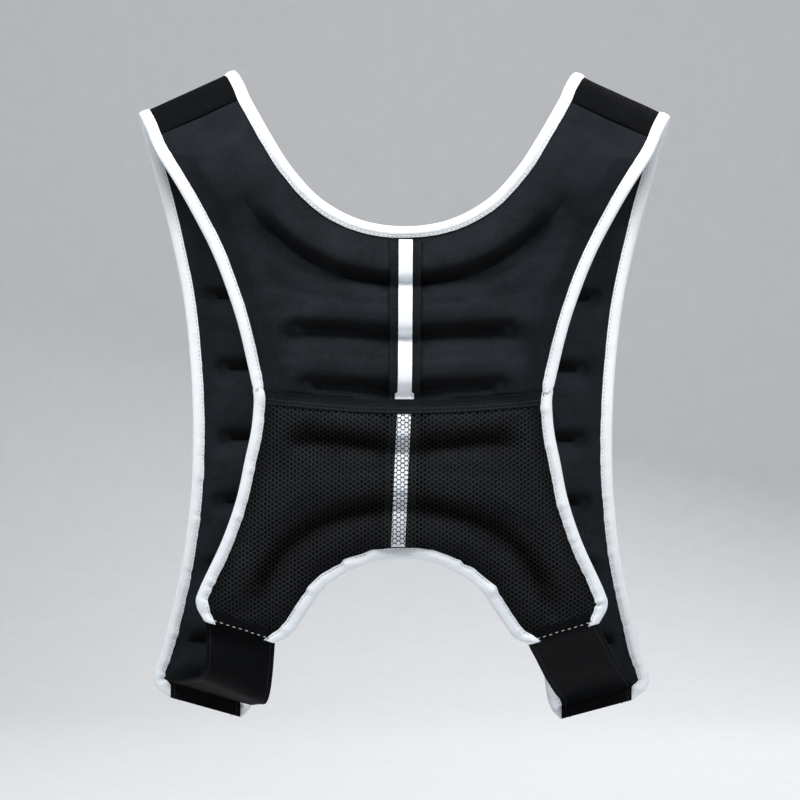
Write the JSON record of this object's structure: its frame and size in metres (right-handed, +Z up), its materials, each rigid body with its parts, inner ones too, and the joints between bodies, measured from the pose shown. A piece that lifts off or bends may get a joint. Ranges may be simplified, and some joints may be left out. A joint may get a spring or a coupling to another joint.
{
  "type": "weighted vest",
  "caption": "Padded weighted exercise vest with bound edges, a mesh back pocket, elastic side straps and an open front closed by buckled straps.",
  "frame": {"origin": "middle of the line along which the two shoulder straps rest on the shoulders, at the straps' underside", "axes": "+X to the wearer's right, +Y to the wearer's front, +Z up"},
  "size_m": [0.3962, 0.1904, 0.4859],
  "materials": {
    "neoprene": "black knit-faced neoprene",
    "binding": "white folded binding tape",
    "elastic": "black ribbed elastic",
    "webbing": "black ribbed webbing",
    "reflective_tape": "silver white reflective tape",
    "mesh": "black hexagonal mesh",
    "buckle": "black moulded plastic"
  },
  "bodies": {
    "root": {"back_panel": "neoprene", "front_panel_left": "neoprene", "front_panel_right": "neoprene", "shoulder_band_left": "elastic", "shoulder_band_right": "elastic", "arm_binding_left": "binding", "arm_binding_right": "binding", "neck_binding": "binding", "hem_binding": "binding", "centre_webbing": "webbing", "reflective_strip_upper": "reflective_tape", "reflective_strip_lower": "reflective_tape", "mesh_pocket": "mesh", "pocket_band": "elastic", "side_strap_left": "elastic", "side_strap_right": "elastic", "chest_strap_upper_left": "webbing", "chest_strap_upper_right": "webbing", "chest_strap_lower_left": "webbing", "chest_strap_lower_right": "webbing", "chest_buckle_upper": "buckle", "chest_buckle_lower": "buckle"}
  },
  "joints": []
}
